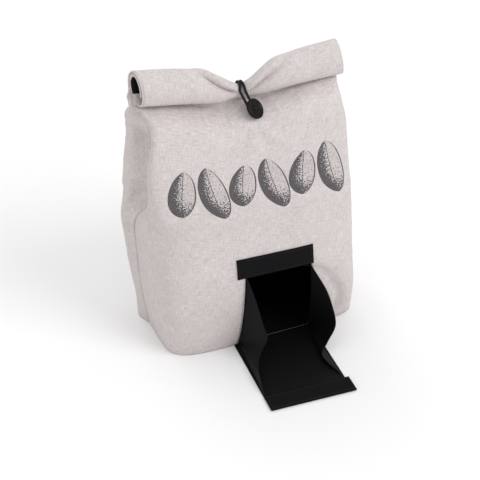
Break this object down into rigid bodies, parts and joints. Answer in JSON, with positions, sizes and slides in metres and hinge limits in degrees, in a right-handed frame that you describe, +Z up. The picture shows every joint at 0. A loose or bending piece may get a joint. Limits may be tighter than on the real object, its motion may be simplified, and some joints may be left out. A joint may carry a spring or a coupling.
{
  "type": "roll-top potato storage bag",
  "caption": "Standing linen storage bag with a black lining, a rolled top held by an elastic loop and a button, and an open hatch with a cloth chute low in the front.",
  "frame": {"origin": "middle of the base, on the surface the bag stands on", "axes": "X to the right seen from the front, -Y out of the front, Z up"},
  "size_m": [0.2799, 0.2803, 0.3782],
  "materials": {
    "linen": "plain woven, matt",
    "black_cloth": "fine woven, matt",
    "hook_tape": "hook-and-loop tape, matt",
    "button_plastic": "polished",
    "thread": "wound sewing thread",
    "elastic": "braided over a rubber core"
  },
  "bodies": {
    "root": {"front_panel": "linen", "back_panel": "linen", "base_panel": "linen", "lining_front": "black_cloth", "lining_back": "black_cloth", "lining_base": "black_cloth", "front_strip": "hook_tape", "chute_floor": "black_cloth", "chute_gusset_left": "black_cloth", "chute_gusset_right": "black_cloth", "flap_strip": "hook_tape", "button": "button_plastic", "button_thread": "thread", "elastic_loop": "elastic", "loop_tab": "linen"}
  },
  "joints": []
}
